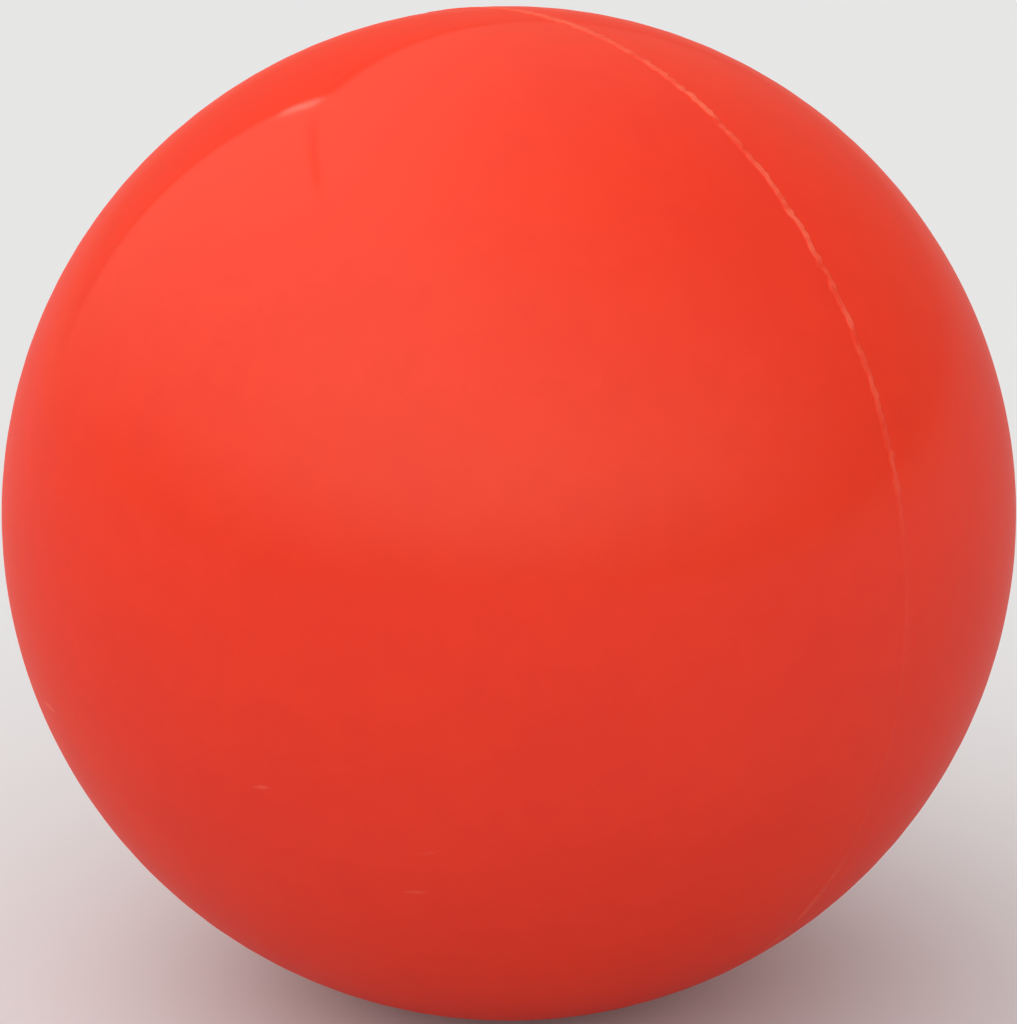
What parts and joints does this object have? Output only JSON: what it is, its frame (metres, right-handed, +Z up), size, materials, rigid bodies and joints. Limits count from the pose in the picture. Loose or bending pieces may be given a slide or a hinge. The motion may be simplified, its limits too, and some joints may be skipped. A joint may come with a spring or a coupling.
{
  "type": "dodgeball",
  "caption": "Round red inflatable rubber ball with a thin moulded parting line, a thread-wound wall over an air bladder, and a flush needle valve with a push-in core.",
  "frame": {"origin": "centre of the ball", "axes": "+X out through the valve along the needle duct, +Z up as in the picture, parting line of the mould in the plane X = 0"},
  "size_m": [0.2159, 0.2164, 0.2164],
  "materials": {
    "cover_rubber": "smooth satin red rubber with light mottling",
    "winding_nylon": "cemented natural nylon thread",
    "bladder_butyl": "matte black butyl rubber",
    "patch_cloth": "rubbered square-weave cotton cloth",
    "valve_rubber": "moulded black rubber",
    "core_rubber": "soft dark grey rubber"
  },
  "bodies": {
    "ball": {"cover_plain_half": "cover_rubber", "cover_valve_half": "cover_rubber", "thread_winding": "winding_nylon", "bladder": "bladder_butyl", "valve_patch": "patch_cloth", "valve_housing": "valve_rubber"},
    "valve_core": {"valve_core": "core_rubber"}
  },
  "joints": [
    {"name": "valve_core_pull", "type": "slide", "parent": "ball", "child": "valve_core", "axis": [1, 0, 0], "range_m": [0, 0.02]}
  ]
}
